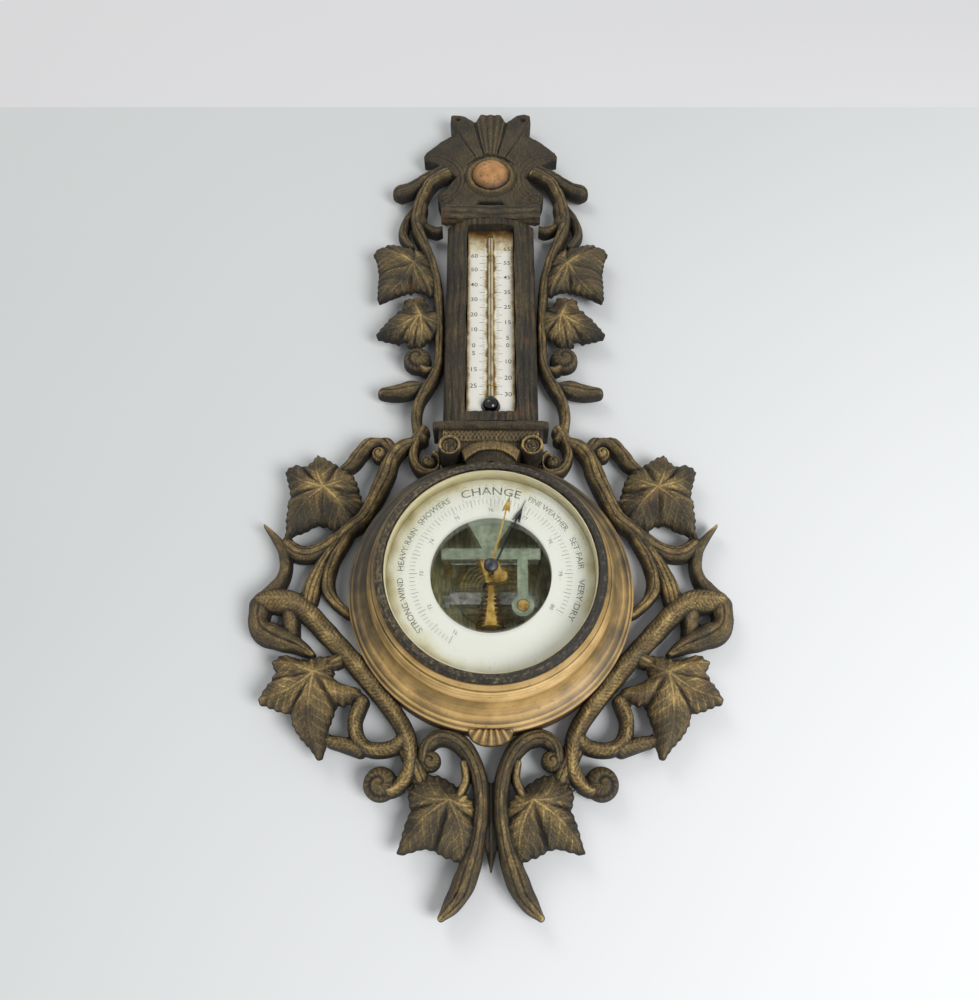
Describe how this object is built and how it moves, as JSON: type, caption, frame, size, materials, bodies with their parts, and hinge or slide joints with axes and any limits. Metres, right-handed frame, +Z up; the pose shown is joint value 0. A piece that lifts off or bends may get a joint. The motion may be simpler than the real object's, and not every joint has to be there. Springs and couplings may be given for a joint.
{
  "type": "carved wall barometer with thermometer",
  "caption": "Carved vine-leaf wall frame with an aneroid barometer movement, glazed dial and set hand, and a mercury thermometer above.",
  "frame": {"origin": "centre of the hanging hole, on the plane of the back", "axes": "+Z up the instrument, +Y into the wall, +X to the viewer's right"},
  "size_m": [0.396, 0.084, 0.775],
  "materials": {
    "carved_wood": "carved lime or walnut, stained dark olive brown, ridges dry-brushed with gold",
    "turned_wood": "turned ring, stain worn back to a light tan",
    "bare_wood": "bare pale orange wood, open pores",
    "black_bezel": "brown-black worn lacquer, satin",
    "milk_glass": "milk glass, stained brown at the top and beside the tube",
    "tube_glass": "clear drawn glass with a cream backing",
    "mercury": "dark shining liquid metal in the bulb",
    "clear_glass": "flat window glass, slightly green",
    "cream_band": "yellowed cream paint",
    "silvered_dial": "silvered and lacquered dial, yellowed at its edge",
    "tinned_case": "tinned sheet, dull",
    "dark_knob": "dark grey patinated brass",
    "brass": "lacquered brass, aged",
    "steel": "plain steel",
    "bridge_steel": "flat sheet steel, grey-green with age",
    "blued_steel": "blued steel",
    "spring_wire": "bronze spring wire",
    "capsule_metal": "corrugated nickel-silver sheet, olive with age"
  },
  "bodies": {
    "root": {"base_board": "carved_wood", "turned_ring": "turned_wood", "wreath_left": "carved_wood", "wreath_right": "carved_wood", "tail_carving": "carved_wood", "side_vine_left": "carved_wood", "side_vine_right": "carved_wood", "bracket": "carved_wood", "column": "carved_wood", "column_beam": "carved_wood", "crest": "carved_wood", "crest_boss": "bare_wood", "hanger_plate": "brass", "hanger_screws": "steel", "scale_plate": "milk_glass", "thermometer_tube": "tube_glass", "mercury": "mercury", "tube_clips": "brass", "drum_case": "tinned_case", "flange_screws": "brass", "bezel_ring": "black_bezel", "glass": "clear_glass", "glass_wire": "brass", "reflector_band": "cream_band", "dial_plate": "silvered_dial", "dial_feet": "brass", "movement_plate": "brass", "plate_screws": "brass", "capsule": "capsule_metal", "spring_bridge": "steel", "main_spring": "spring_wire", "lever_pin": "steel", "lever_stand": "brass", "bridge_pillars": "brass", "t_bridge": "bridge_steel", "bridge_screws": "brass", "arbor_cock": "brass", "cock_screw": "brass", "hairspring": "blued_steel"},
    "pointer": {"pointer": "blued_steel", "pointer_arbor": "steel"},
    "set_hand": {"set_hand_knob": "dark_knob", "set_hand": "brass"},
    "rocking_shaft": {"rocking_shaft": "steel"},
    "link": {"link": "steel"},
    "lever": {"lever": "brass"},
    "capsule_post": {"capsule_post": "steel"},
    "chain": {"chain": "steel"},
    "adjusting_screw": {"adjusting_screw": "brass"}
  },
  "joints": [
    {"name": "pointer_turn", "type": "hinge", "parent": "root", "child": "pointer", "pos_m": [0, -0.06, -0.48], "axis": [0, 1, 0], "range_deg": [-174.5, 95.5], "stiffness_Nm_per_rad": 0.0012},
    {"name": "rocking_shaft_turn", "type": "hinge", "parent": "root", "child": "rocking_shaft", "pos_m": [0, -0.0325, -0.462], "axis": [1, 0, 0], "range_deg": [-17.5, 9.6]},
    {"name": "chain_slide", "type": "slide", "parent": "root", "child": "chain", "axis": [0, 0, -1], "range_m": [-0.00397, 0.00218]},
    {"name": "link_slide", "type": "slide", "parent": "root", "child": "link", "axis": [0, 1, 0], "range_m": [-0.00199, 0.0011]},
    {"name": "lever_turn", "type": "hinge", "parent": "root", "child": "lever", "pos_m": [0, -0.02, -0.52], "axis": [-1, 0, 0], "range_deg": [-2.21, 1.21]},
    {"name": "capsule_post_slide", "type": "slide", "parent": "root", "child": "capsule_post", "axis": [0, 1, 0], "range_m": [-0.00155, 0.00086]},
    {"name": "set_hand_turn", "type": "hinge", "parent": "root", "child": "set_hand", "pos_m": [0, -0.078, -0.48], "axis": [0, 1, 0], "continuous": true},
    {"name": "adjusting_screw_turn", "type": "hinge", "parent": "root", "child": "adjusting_screw", "pos_m": [0, -0.008, -0.48], "axis": [0, 1, 0], "range_deg": [-180, 180]}
  ],
  "couplings": [
    {"joint": "rocking_shaft_turn", "follows": "pointer_turn", "ratio": 0.1},
    {"joint": "chain_slide", "follows": "pointer_turn", "m_per_rad": 0.0013},
    {"joint": "link_slide", "follows": "pointer_turn", "m_per_rad": 0.00065},
    {"joint": "lever_turn", "follows": "pointer_turn", "ratio": 0.012621},
    {"joint": "capsule_post_slide", "follows": "pointer_turn", "m_per_rad": 0.00050485}
  ]
}
